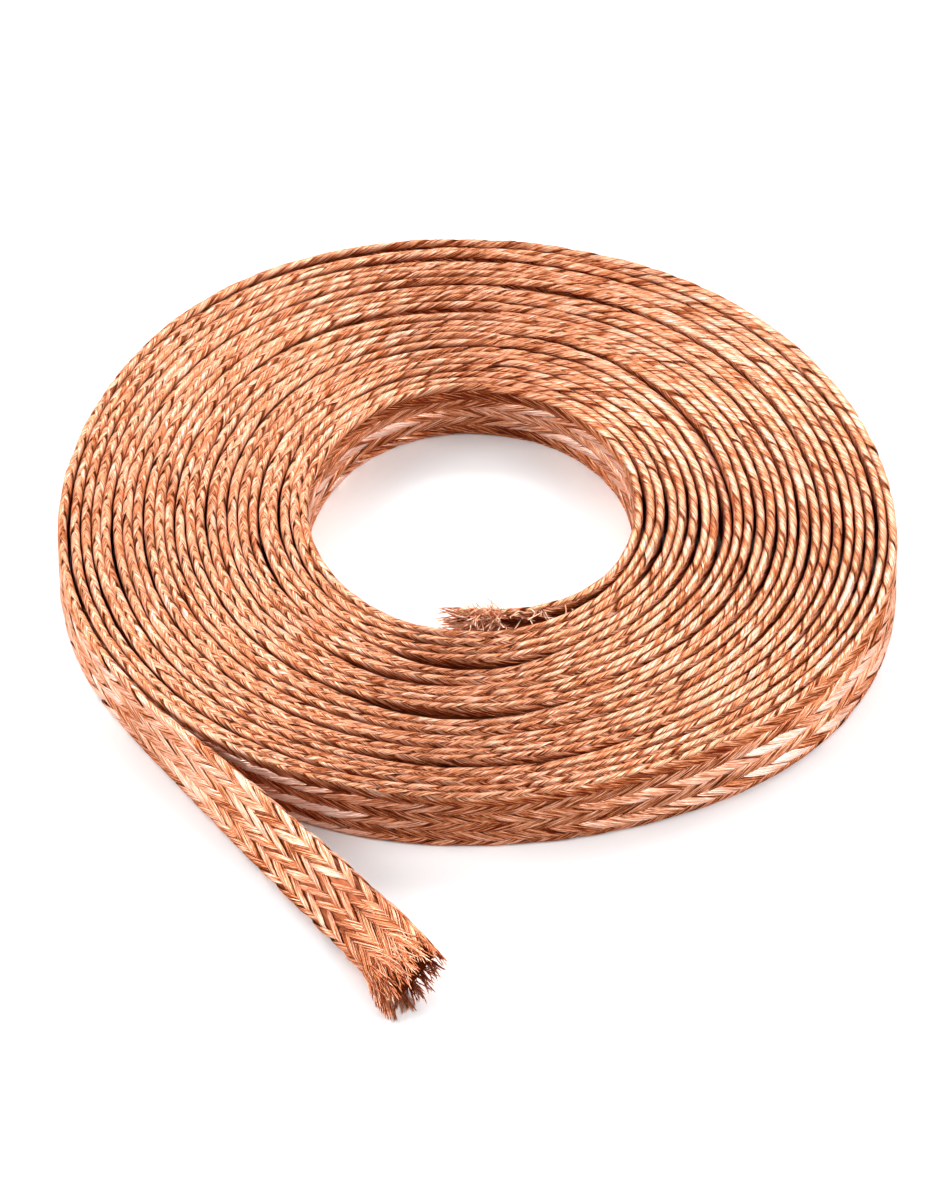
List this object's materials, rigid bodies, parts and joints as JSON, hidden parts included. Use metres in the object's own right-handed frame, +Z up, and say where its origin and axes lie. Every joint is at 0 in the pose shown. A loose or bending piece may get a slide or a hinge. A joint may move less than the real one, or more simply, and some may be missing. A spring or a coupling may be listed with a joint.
{
  "type": "flexible busbar braid",
  "caption": "Flat tubular braid of bare copper wire, wound on edge into a pancake roll with an open bore; frayed inner end, free tail that opens into a frayed mouth.",
  "frame": {"origin": "middle of the underside of the whole part's box, on the surface that the roll lies on", "axes": "+Z up out of the roll's face, along its winding axis; -Y along the length that the free tail adds; the strip winds outwards anticlockwise seen from +Z"},
  "size_m": [0.1234, 0.159, 0.0117],
  "materials": {
    "bare_copper": null
  },
  "bodies": {
    "root": {"braid_strip": "bare_copper"}
  },
  "joints": []
}
